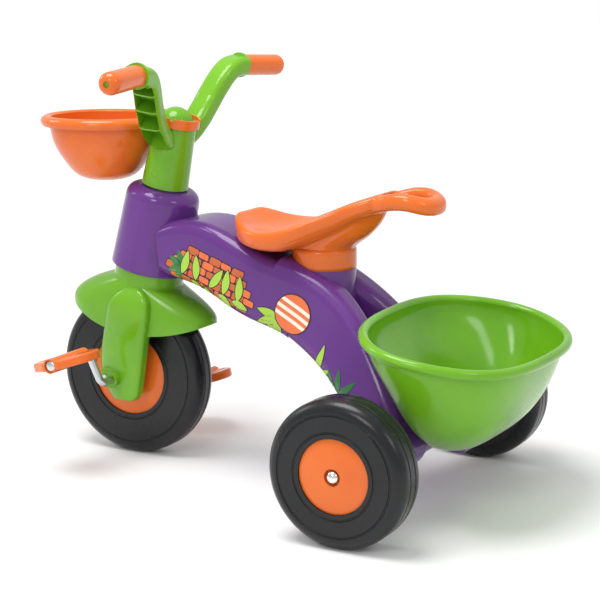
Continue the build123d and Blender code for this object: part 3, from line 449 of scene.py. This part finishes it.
def brick_wall():
    """Outlines of the broken wall behind the leaves, in two tints."""
    tints = ([], [])
    cos, sin = math.cos(WALL_SLOPE), math.sin(WALL_SLOPE)
    for row in range(WALL_ROWS):
        for column in range(WALL_COLUMNS):
            along = (column - (WALL_COLUMNS - 1) / 2 + 0.5 * (row % 2)) * BRICK_PITCH
            up = (row - (WALL_ROWS - 1) / 2) * ROW_PITCH
            if (along / WALL_HALF_LENGTH) ** 2 + (up / WALL_HALF_HEIGHT) ** 2 > 1.05:
                continue
            wobble = BRICK_WOBBLE * math.sin(7.3 * row + 3.1 * column)
            middle = (WALL_MIDDLE[0] + along * cos - up * sin, WALL_MIDDLE[1] + along * sin + up * cos)
            width = BRICK_LENGTH + 1.2 * wobble
            tints[(3 * row + 5 * column) % 2].append(
                (brick_outline, (middle, width, BRICK_HEIGHT + wobble, WALL_SLOPE + 9 * wobble, wobble)))
    return tints


def print_shapes():
    """Every printed shape: its layer, its tint and its outline."""
    dark_brick, light_brick = brick_wall()
    fan = [(leaf_outline, ((-0.126 + 0.0215 * index, 0.2600 - 0.0068 * index), 0.032, 0.0125,
                           math.radians(62 + 22 * math.sin(2.2 * index)), 0.12)) for index in range(5)]
    fan += [(leaf_outline, ((-0.112 + 0.0215 * index, 0.2530 - 0.0068 * index), 0.024, 0.0105,
                            math.radians(-40 - 25 * math.sin(1.7 * index)), -0.10)) for index in range(4)]
    back_leaves = [(leaf_outline, ((-0.126, 0.268), 0.022, 0.012, math.radians(turn), 0.1))
                   for turn in (95, 140, 190, 235)]
    crown = [(leaf_outline, ((0.022, 0.216), 0.034, 0.013, math.radians(turn), 0.15))
             for turn in (150, 180, 212, 245)]
    ball = (0.0405, 0.2255)
    sprout = [(leaf_outline, ((0.070, 0.160), 0.036, 0.012, math.radians(38), 0.42)),
              (leaf_outline, ((0.078, 0.158), 0.022, 0.008, math.radians(5), 0.2))]
    grass = [(leaf_outline, ((0.112, 0.130), 0.040, 0.010, math.radians(turn), bend))
             for turn, bend in ((150, -0.25), (118, -0.1), (84, 0.05), (52, -0.15), (30, -0.2))]
    return (
        ("print_outline", "ink", 1, 0.0013, dark_brick + light_brick),
        ("print_bricks_dark", "brick_dark", 2, 0.0, dark_brick),
        ("print_bricks_light", "brick", 2, 0.0, light_brick),
        ("print_leaves_back", "leaf", 3, 0.0, back_leaves),
        ("print_fan_outline", "ink", 4, 0.0014, fan),
        ("print_fan", "lime", 5, 0.0, fan),
        ("print_crown_outline", "ink", 2, 0.0014, crown),
        ("print_crown", "lime", 3, 0.0, crown),
        ("print_ball_outline", "ink", 4, 0.0014, [(ball_outline, (ball, 0.0245))]),
        ("print_ball", "brick", 5, 0.0, [(ball_outline, (ball, 0.0245))]),
        ("print_ball_bands", "cream", 6, 0.0,
         [(ball_outline, (ball, 0.0243), {"low": low, "high": low + 0.2, "angle": -0.5})
          for low in (-0.45, -0.05, 0.35)]),
        ("print_sprout_outline", "ink", 2, 0.0012, sprout),
        ("print_sprout", "lime", 3, 0.0, sprout),
        ("print_grass", "leaf", 4, 0.0, grass),
    )


def print_piece(name, outlines, grow, lift, cell, surface, material):
    """Flat shapes cut into small cells and laid on the side of the frame."""
    bm = bmesh.new()
    for shape, values, *more in outlines:
        options = more[0] if more else {}
        corners = [bm.verts.new((0, *point)) for point in shape(*values, grow=grow, **options)]
        bm.faces.new(corners)
    bmesh.ops.triangulate(bm, faces=bm.faces)
    for axis in (1, 2):
        places = [vert.co[axis] for vert in bm.verts]
        count = int((max(places) - min(places)) / cell)
        for index in range(1, count + 1):
            cut = Vector((0, 0, 0))
            cut[axis] = min(places) + index * cell
            square = Vector((0, 0, 0))
            square[axis] = 1
            geometry = [*bm.verts, *bm.edges, *bm.faces]
            bmesh.ops.bisect_plane(bm, geom=geometry, plane_co=cut, plane_no=square)
    outside = []
    for vert in bm.verts:
        start = Vector((PRINT_START, vert.co.y, vert.co.z))
        place, normal, *_ = surface.ray_cast(start, Vector((-1, 0, 0)))
        if place is None or normal.x < SIDE_LIMIT:
            outside.append(vert)
        else:
            vert.co = place + normal * lift
    bmesh.ops.delete(bm, geom=outside, context="VERTS")
    if not bm.faces:
        raise RuntimeError(name + " misses the side of the frame")
    return piece_from(bm, name, material, "chassis", flat=True)


class TRIKE_OT_print(bpy.types.Operator):
    """Lay the printed bricks, leaves and ball on the side of the frame"""
    bl_idname = "trike.print"
    bl_label = "Side print"

    def execute(self, context):
        tints = context.scene.tricycle_colours
        finish = context.scene.tricycle_finish
        bm = bmesh.new()
        bm.from_mesh(NODES["main_frame"].data)
        surface = BVHTree.FromBMesh(bm)
        bm.free()
        brick = Vector(tints.brick)
        inks = {
            "ink": (tints.ink, tints.ink), "leaf": (tints.leaf, tuple(Vector(tints.leaf) * 0.7)),
            "lime": (tints.lime, tuple(Vector(tints.lime) * 0.85)),
            "brick": (tints.brick, tuple(brick * 0.85)),
            "brick_dark": (tuple(brick * 0.72), tuple(brick * 0.6)),
            "cream": ((0.86, 0.78, 0.66), (0.80, 0.72, 0.60)),
        }
        for name, tint, layer, grow, outlines in print_shapes():
            material = plastic("print_" + tint, *inks[tint], coat=0.15)
            print_piece(name, outlines, grow, layer * finish.print_lift, finish.print_cell,
                        surface, material)
        return {"FINISHED"}


# ---------------------------------------------------------------- saddle
# Each table pairs a place along the tricycle with a height or a half width there.
SADDLE_CREST = ((-0.062, 0.333), (-0.0605, 0.337), (-0.058, 0.341), (-0.053, 0.343), (-0.045, 0.340),
                (-0.030, 0.3345), (-0.010, 0.3315), (0.012, 0.333), (0.036, 0.339), (0.063, 0.350),
                (0.085, 0.3585), (0.110, 0.368), (0.140, 0.3765))
SADDLE_EDGE = ((-0.062, 0.326), (-0.0605, 0.320), (-0.058, 0.3155), (-0.053, 0.311), (-0.038, 0.3045),
               (-0.018, 0.301), (0.005, 0.2995), (0.025, 0.3005), (0.045, 0.3075), (0.068, 0.3175),
               (0.091, 0.3295), (0.112, 0.342), (0.140, 0.354))
SADDLE_WIDTH = ((-0.062, 0.004), (-0.0605, 0.017), (-0.058, 0.027), (-0.053, 0.038), (-0.048, 0.046),
                (-0.038, 0.058), (-0.020, 0.071), (0.0, 0.078), (0.025, 0.078), (0.048, 0.071),
                (0.070, 0.061), (0.091, 0.0515), (0.110, 0.0455), (0.126, 0.0405), (0.135, 0.036),
                (0.140, 0.027))
SADDLE_DISH = ((-0.062, 0.0), (-0.050, 0.004), (-0.030, 0.0095), (0.0, 0.0125), (0.030, 0.0125),
               (0.060, 0.010), (0.090, 0.006), (0.120, 0.002), (0.140, 0.0))
SADDLE_NOSE, SADDLE_LENGTH = -0.062, 0.202
SADDLE_SQUARENESS = 4.5
SADDLE_DRAFT = 0.10
RING_CROWDING = 1.4             # rings stand closer together at the nose
FUNNEL_DEPTH_IN_SADDLE = 0.002
# Height, middle, half width and half length of the funnel.
FUNNEL = ((0.300, 0.053, 0.0385, 0.0385), (0.306, 0.055, 0.0385, 0.0405), (0.319, 0.0635, 0.0385, 0.0495),
          (0.333, 0.0700, 0.0370, 0.0565), (0.346, 0.0750, 0.0340, 0.0600), (0.356, 0.0800, 0.0290, 0.0580))
LOOP_MIDDLE, LOOP_HALF_LENGTH, LOOP_HALF_WIDTH = 0.1665, 0.0360, 0.0325
LOOP_BAR_WIDTH, LOOP_BAR_HEIGHT = 0.0090, 0.0105
LOOP_TOP = ((0.120, 0.364), (0.140, 0.3735), (0.160, 0.3790), (0.180, 0.3795), (0.200, 0.3745),
            (0.215, 0.3700))
LOOP_BAR_SQUARENESS, LOOP_SQUARENESS = 2.4, 2.5
COLLAR_RADIUS, COLLAR_HEIGHT, COLLAR_MIDDLE = 0.0405, 0.026, 0.053
COLLAR_WALL = 0.003
COLLAR_ROUNDING, COLLAR_ROUNDED_FROM = 0.006, 0.8
MOULD_CELL, MOULD_SOFTENING = 0.0014, 24


def saddle_mesh():
    """Dished saddle slab with deep rounded flanks."""
    bm = tube_rings(96, 110, True)
    for vert in bm.verts:
        angle = math.atan2(vert.co.y, vert.co.x)
        along = SADDLE_NOSE + SADDLE_LENGTH * vert.co.z ** RING_CROWDING
        crest, edge = between(along, SADDLE_CREST), between(along, SADDLE_EDGE)
        half = between(along, SADDLE_WIDTH)
        x, rise = rounded(angle, half, (crest - edge) / 2, SADDLE_SQUARENESS)
        if rise > 0:
            share = 1 - (x / half) ** 2
            rise -= between(along, SADDLE_DISH) * share
        else:
            x *= 1 + SADDLE_DRAFT * rise / (crest - edge)
        vert.co = Vector((x, along, (crest + edge) / 2 + rise))
    return bm


def funnel_mesh():
    """Funnel from the collar into the saddle."""
    bm = tube_rings(72, 24, True)
    heights = [row[0] for row in FUNNEL]
    columns = [[(row[0], row[index]) for row in FUNNEL] for index in (1, 2, 3)]
    for vert in bm.verts:
        angle = math.atan2(vert.co.y, vert.co.x)
        height = heights[0] + (heights[-1] - heights[0]) * vert.co.z
        middle, half_x, half_y = (between(height, column) for column in columns)
        y = middle + half_y * math.sin(angle)
        ceiling = (between(y, SADDLE_CREST) + between(y, SADDLE_EDGE)) / 2 - FUNNEL_DEPTH_IN_SADDLE
        vert.co = Vector((half_x * math.cos(angle), y, min(height, ceiling)))
    return bm


def loop_mesh():
    """Carry handle: a rounded bar that runs round an oval hole."""
    bm = tube_rings(28, 120, False)
    for vert in bm.verts:
        angle = math.atan2(vert.co.y, vert.co.x)
        turn = 2 * math.pi * vert.co.z
        out, rise = rounded(angle, LOOP_BAR_WIDTH, LOOP_BAR_HEIGHT, LOOP_BAR_SQUARENESS)
        x, y = rounded(turn, LOOP_HALF_WIDTH + out, LOOP_HALF_LENGTH + out, LOOP_SQUARENESS)
        middle_y = LOOP_MIDDLE + y
        vert.co = Vector((x, middle_y, between(middle_y, LOOP_TOP) - LOOP_BAR_HEIGHT + rise))
    return bm


def moulded_together(*parts):
    """One bmesh that holds several closed parts."""
    whole = bmesh.new()
    for part in parts:
        bmesh.ops.remove_doubles(part, verts=part.verts, dist=MERGE_DISTANCE)
        bmesh.ops.recalc_face_normals(part, faces=part.faces)
        mesh = bpy.data.meshes.new("part")
        part.to_mesh(mesh)
        part.free()
        whole.from_mesh(mesh)
        bpy.data.meshes.remove(mesh)
    return whole


def collar_mesh():
    """Plain collar that drops over the frame post."""
    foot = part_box("seat")[0].z
    bm = tube_rings(96, 6, False)
    for vert in bm.verts:
        angle = math.atan2(vert.co.y, vert.co.x)
        radius = COLLAR_RADIUS - COLLAR_ROUNDING * max(0.0, vert.co.z - COLLAR_ROUNDED_FROM)
        vert.co = Vector((radius * math.cos(angle), COLLAR_MIDDLE + radius * math.sin(angle),
                          foot + COLLAR_HEIGHT * vert.co.z))
    return bm


class TRIKE_OT_saddle(bpy.types.Operator):
    """Mould the saddle, its carry handle, funnel and collar"""
    bl_idname = "trike.saddle"
    bl_label = "Saddle"

    def execute(self, context):
        shell = moulded_together(saddle_mesh(), funnel_mesh(), loop_mesh())
        saddle = piece_from(shell, "saddle", orange_plastic(), "chassis")
        skin = saddle.modifiers.new("one_moulding", "REMESH")
        skin.mode = "VOXEL"
        skin.voxel_size = MOULD_CELL
        skin.use_smooth_shade = True
        soft = saddle.modifiers.new("soft_joins", "SMOOTH")
        soft.factor = 0.5
        soft.iterations = MOULD_SOFTENING
        collar = piece_from(collar_mesh(), "saddle_collar", orange_plastic(), "chassis")
        wall = collar.modifiers.new("wall", "SOLIDIFY")
        wall.thickness, wall.offset = COLLAR_WALL, -1
        for piece in (saddle, collar):
            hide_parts("seat")
        return {"FINISHED"}


# ---------------------------------------------------------------- fork
# Height paired with the front, back and outside of a leg there.
LEG_FRONT = ((0.082, -0.240), (0.095, -0.252), (0.109, -0.2585), (0.131, -0.2610), (0.153, -0.2585),
             (0.178, -0.2530), (0.197, -0.2450), (0.214, -0.2370), (0.226, -0.2260), (0.235, -0.2110))
LEG_BACK = ((0.082, -0.203), (0.090, -0.1975), (0.114, -0.1925), (0.169, -0.1834), (0.194, -0.1790),
            (0.214, -0.1790), (0.226, -0.1860), (0.232, -0.1950), (0.235, -0.2050))
LEG_OUTSIDE = ((0.082, 0.0535), (0.120, 0.0550), (0.170, 0.0570), (0.200, 0.0575), (0.218, 0.0550),
               (0.229, 0.0500), (0.235, 0.0430))
LEG_FOLD = 0.34
LEG_FOLD_TOP = 0.212
LEG_FOLD_FADE = 0.035
LEG_FOLD_PLACE = 0.45
LEG_FOOT, LEG_HEAD, LEG_INSIDE = 0.082, 0.2345, 0.033
LEG_SQUARENESS = 4.5
NECK_TOP = 0.262
NECK_END, LIP_START = 0.14, 0.86        # shares of the way down the skirt
LIP_DROP = 0.11
SKIRT_SQUARENESS = 2.1
SKIRT_FALL, SKIRT_TURN = 0.40, 0.49
STEERER_RADIUS, STEERER_FOOT, STEERER_TOP = 0.015, 0.243, 0.405
NECK_PLATE_GAP, NECK_PLATE_DEPTH = 0.001, 0.005


def skirt_mesh(sizes):
    """Bell over the front wheel: neck, two lobes and a turned-down lip."""
    bm = tube_rings(128, 44, False)
    top = steer_point(NECK_TOP)
    foot = steer_point(sizes.neck_height)
    lean = JOINTS["steering"]["axis"][1] / JOINTS["steering"]["axis"][2]
    for vert in bm.verts:
        angle = math.atan2(vert.co.y, vert.co.x)
        down = 1 - vert.co.z
        neck = Vector((sizes.neck_radius * math.cos(angle), sizes.neck_radius * math.sin(angle), 0))
        neck.z = -neck.y * lean
        x, y = rounded(angle, sizes.skirt_half_width, sizes.skirt_half_length, SKIRT_SQUARENESS)
        rim = Vector((x, y + sizes.skirt_centre, 0))
        rim.z = (sizes.skirt_rim - sizes.skirt_slope * y
                 - sizes.skirt_droop * (abs(x) / sizes.skirt_half_width) ** 2)
        start = foot + neck
        if down < NECK_END:
            vert.co = (top + neck).lerp(start, down / NECK_END)
        elif down < LIP_START:
            turn = (down - NECK_END) / (LIP_START - NECK_END) * math.pi / 2
            spread = math.sin(turn)
            drop = SKIRT_FALL * spread + SKIRT_TURN * (1 - math.cos(turn))
            vert.co = start.lerp(rim, spread)
            vert.co.z = start.z + (rim.z - start.z) * drop
        else:
            lip = (down - LIP_START) / (1 - LIP_START)
            vert.co = rim
            vert.co.z = start.z + (rim.z - start.z) * (1 - LIP_DROP + LIP_DROP * lip)
    return bm


def leg_mesh(side):
    """One fork leg: a rounded upright with a folded front edge and a domed top."""
    bm = tube_rings(56, 60, True)
    for vert in bm.verts:
        angle = math.atan2(vert.co.y, vert.co.x)
        height = LEG_FOOT + (LEG_HEAD - LEG_FOOT) * vert.co.z
        front, back = between(height, LEG_FRONT), between(height, LEG_BACK)
        outside = between(height, LEG_OUTSIDE)
        x, y = rounded(angle, (outside - LEG_INSIDE) / 2, (back - front) / 2, LEG_SQUARENESS)
        x += (outside + LEG_INSIDE) / 2
        y += (front + back) / 2
        fold = front + LEG_FOLD_PLACE * (back - front) - y
        fade = min(max((LEG_FOLD_TOP - height) / LEG_FOLD_FADE, 0), 1)
        if fold > 0 and x > (outside + LEG_INSIDE) / 2:
            x -= fold * LEG_FOLD * fade
        vert.co = Vector((side * x, y, height))
    return bm


class TRIKE_OT_fork(bpy.types.Operator):
    """Mould the fork: skirt, two legs and the steering tube"""
    bl_idname = "trike.fork"
    bl_label = "Fork"

    def execute(self, context):
        sizes = context.scene.tricycle_fork
        green = green_plastic()
        skirt = piece_from(skirt_mesh(sizes), "fork_skirt", green, "steering")
        wall = skirt.modifiers.new("wall", "SOLIDIFY")
        wall.thickness = sizes.wall
        wall.offset = -1
        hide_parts("fork")
        for side, name in ((1, "left"), (-1, "right")):
            leg = piece_from(leg_mesh(side), "fork_leg_" + name, green, "steering")
            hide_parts("fork")
        bm = bmesh.new()
        low, high = steer_point(STEERER_FOOT), steer_point(STEERER_TOP)
        axis = (high - low).normalized()
        turn = axis.to_track_quat("Z", "Y").to_matrix().to_4x4()
        bmesh.ops.create_cone(bm, cap_ends=True, segments=48, radius1=STEERER_RADIUS,
                              radius2=STEERER_RADIUS, depth=(high - low).length,
                              matrix=Matrix.Translation((low + high) / 2) @ turn)
        plate = sizes.neck_radius - NECK_PLATE_GAP
        bmesh.ops.create_cone(bm, cap_ends=True, segments=64, radius1=plate,
                              radius2=plate, depth=NECK_PLATE_DEPTH,
                              matrix=Matrix.Translation(low) @ turn)
        tube = piece_from(bm, "fork_tube", green, "steering", smooth=False)
        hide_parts("fork")
        return {"FINISHED"}


class TRIKE_OT_steering(bpy.types.Operator):
    """Finish the handlebar, axle clips, grips and front basket"""
    bl_idname = "trike.steering"
    bl_label = "Steering"

    def execute(self, context):
        finish_nodes(["handlebar", "axle_clip_left", "axle_clip_right"], green_plastic())
        finish_nodes(["grip_left", "grip_right", "front_basket"], orange_plastic())
        return {"FINISHED"}


class TRIKE_OT_bucket(bpy.types.Operator):
    """Finish the rear bucket"""
    bl_idname = "trike.bucket"
    bl_label = "Bucket"

    def execute(self, context):
        finish_nodes(["rear_basket"], green_plastic())
        return {"FINISHED"}


class TRIKE_OT_wheels(bpy.types.Operator):
    """Finish the tyres and hubs"""
    bl_idname = "trike.wheels"
    bl_label = "Wheels"

    def execute(self, context):
        tints = context.scene.tricycle_colours
        tyre = plastic("tyre_moulded", tints.black, tints.black_deep, gloss=0.24, grain=0.4,
                       ripple=1.6, smudge=1.4, coat=0.03)
        finish_nodes(["front_tyre", "rear_tyre_left", "rear_tyre_right"], tyre)
        hubs = ["front_hub_left", "front_hub_right"]
        hubs += [f"rear_hub_{place}_{side}" for place in ("outer", "inner") for side in ("left", "right")]
        finish_nodes(hubs, orange_plastic())
        return {"FINISHED"}


class TRIKE_OT_hardware(bpy.types.Operator):
    """Finish the rods, caps, screws and pedals"""
    bl_idname = "trike.hardware"
    bl_label = "Rods, caps and pedals"

    def execute(self, context):
        steel = metal("drawn_steel", (0.62, 0.64, 0.65), (0.50, 0.51, 0.52), 0.28)
        chrome = metal("chrome_cap", (0.80, 0.79, 0.76), (0.70, 0.69, 0.66), 0.10)
        finish_nodes(["stem_screw"], green_plastic())
        finish_nodes(["rear_axle", "crank_axle", "basket_screws", "clip_screws",
                      "pedal_cap_left", "pedal_cap_right"], steel)
        finish_nodes(["axle_cap_left", "axle_cap_right"], chrome)
        finish_nodes(["pedal_left", "pedal_right"], orange_plastic())
        return {"FINISHED"}


FLOOR_RADIUS = 14.0
SIDE_SHARE = 0.6                # power of the side softboxes against the fill light
FLOOR_FADE = (0.45, 1.7)        # from lit floor to plain white, in metres from the middle


class TRIKE_OT_stage(bpy.types.Operator):
    """Set the floor, lights and camera"""
    bl_idname = "trike.stage"
    bl_label = "Stage"

    def execute(self, context):
        scene = context.scene
        stage = scene.tricycle_stage
        scene.view_settings.view_transform = "Standard"
        bm = bmesh.new()
        bmesh.ops.create_circle(bm, cap_ends=True, segments=96, radius=FLOOR_RADIUS)
        mesh = bpy.data.meshes.new("floor")
        bm.to_mesh(mesh)
        bm.free()
        floor = bpy.data.objects.new("floor", mesh)
        scene.collection.objects.link(floor)
        paint = bpy.data.materials.new("pale_floor")
        paint.use_nodes = True
        tree = paint.node_tree
        point = add_node(tree, "ShaderNodeTexCoord").outputs["Object"]
        shade = mixed(tree, noise(tree, point, 3.0), (0.90, 0.90, 0.90, 1), (0.93, 0.93, 0.93, 1))
        away = add_node(tree, "ShaderNodeVectorMath", {0: point}, operation="LENGTH").outputs["Value"]
        far = remap(tree, away, *FLOOR_FADE)
        shader = tree.nodes["Principled BSDF"]
        tree.links.new(mixed(tree, far, shade, (0, 0, 0, 1)), shader.inputs["Base Color"])
        tree.links.new(far, shader.inputs["Emission Strength"])
        shader.inputs["Emission Color"].default_value = (1, 1, 1, 1)
        shader.inputs["Roughness"].default_value = 0.55
        mesh.materials.append(paint)
        world = bpy.data.worlds.new("room")
        world.use_nodes = True
        tree = world.node_tree
        backdrop = add_node(tree, "ShaderNodeLightPath").outputs["Is Camera Ray"]
        strength = remap(tree, backdrop, 0.0, 1.0, stage.sky, 1.0)
        tree.nodes["Background"].inputs["Color"].default_value = (1, 1, 1, 1)
        tree.links.new(strength, tree.nodes["Background"].inputs["Strength"])
        scene.world = world
        aim = Vector(stage.aim)
        for name, place, size, power in (
            ("softbox_top", (0.5, -0.3, 2.2), 1.3, stage.key),
            ("softbox_camera", (2.4, 0.2, 1.7), 0.8, stage.fill),
            ("softbox_side", (0.4, -2.4, 1.6), 0.9, stage.fill * SIDE_SHARE),
            ("softbox_rear", (0.6, 2.4, 1.8), 0.8, stage.fill * SIDE_SHARE),
        ):
            lamp = bpy.data.lights.new(name, "AREA")
            lamp.shape = "DISK"
            lamp.size = size
            lamp.energy = power
            light = bpy.data.objects.new(name, lamp)
            light.location = place
            light.rotation_mode = "QUATERNION"
            light.rotation_quaternion = (aim - light.location).to_track_quat("-Z", "Y")
            scene.collection.objects.link(light)
        flat = math.cos(stage.elevation)
        back = Vector((math.sin(stage.azimuth) * flat, -math.cos(stage.azimuth) * flat,
                       math.sin(stage.elevation)))
        lens = bpy.data.cameras.new("camera")
        lens.lens = stage.lens
        camera = bpy.data.objects.new("camera", lens)
        camera.location = aim + back * stage.distance
        camera.rotation_mode = "QUATERNION"
        camera.rotation_quaternion = (-back).to_track_quat("-Z", "Y")
        scene.collection.objects.link(camera)
        scene.camera = camera
        return {"FINISHED"}


STEPS = (TRIKE_OT_frame, TRIKE_OT_print, TRIKE_OT_saddle, TRIKE_OT_fork, TRIKE_OT_steering, TRIKE_OT_bucket,
         TRIKE_OT_wheels, TRIKE_OT_hardware, TRIKE_OT_stage)


class TRIKE_PT_panel(bpy.types.Panel):
    """Buttons and settings of the tricycle"""
    bl_idname = "TRIKE_PT_panel"
    bl_label = "Tricycle"
    bl_space_type = "VIEW_3D"
    bl_region_type = "UI"
    bl_category = "Tricycle"

    def draw(self, context):
        for step in STEPS:
            self.layout.operator(step.bl_idname)
        for group in (context.scene.tricycle_colours, context.scene.tricycle_finish,
                      context.scene.tricycle_fork, context.scene.tricycle_stage):
            for key in group.bl_rna.properties.keys():
                if key not in ("rna_type", "name"):
                    self.layout.prop(group, key)


CLASSES = (TricycleColours, TricycleFinish, TricycleStage, TricycleFork, *STEPS, TRIKE_PT_panel)


def register():
    """Make the settings, operators and panel known."""
    for item in CLASSES:
        bpy.utils.register_class(item)
    bpy.types.Scene.tricycle_colours = PointerProperty(type=TricycleColours)
    bpy.types.Scene.tricycle_finish = PointerProperty(type=TricycleFinish)
    bpy.types.Scene.tricycle_stage = PointerProperty(type=TricycleStage)
    bpy.types.Scene.tricycle_fork = PointerProperty(type=TricycleFork)


def unregister():
    """Take the settings, operators and panel away again."""
    del bpy.types.Scene.tricycle_colours
    del bpy.types.Scene.tricycle_finish
    del bpy.types.Scene.tricycle_stage
    del bpy.types.Scene.tricycle_fork
    for item in reversed(CLASSES):
        bpy.utils.unregister_class(item)


def main():
    """Dress every piece in order."""
    register()
    for step in STEPS:
        group, name = step.bl_idname.split(".")
        getattr(getattr(bpy.ops, group), name)()
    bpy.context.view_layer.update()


if __name__ == "__main__":
    main()
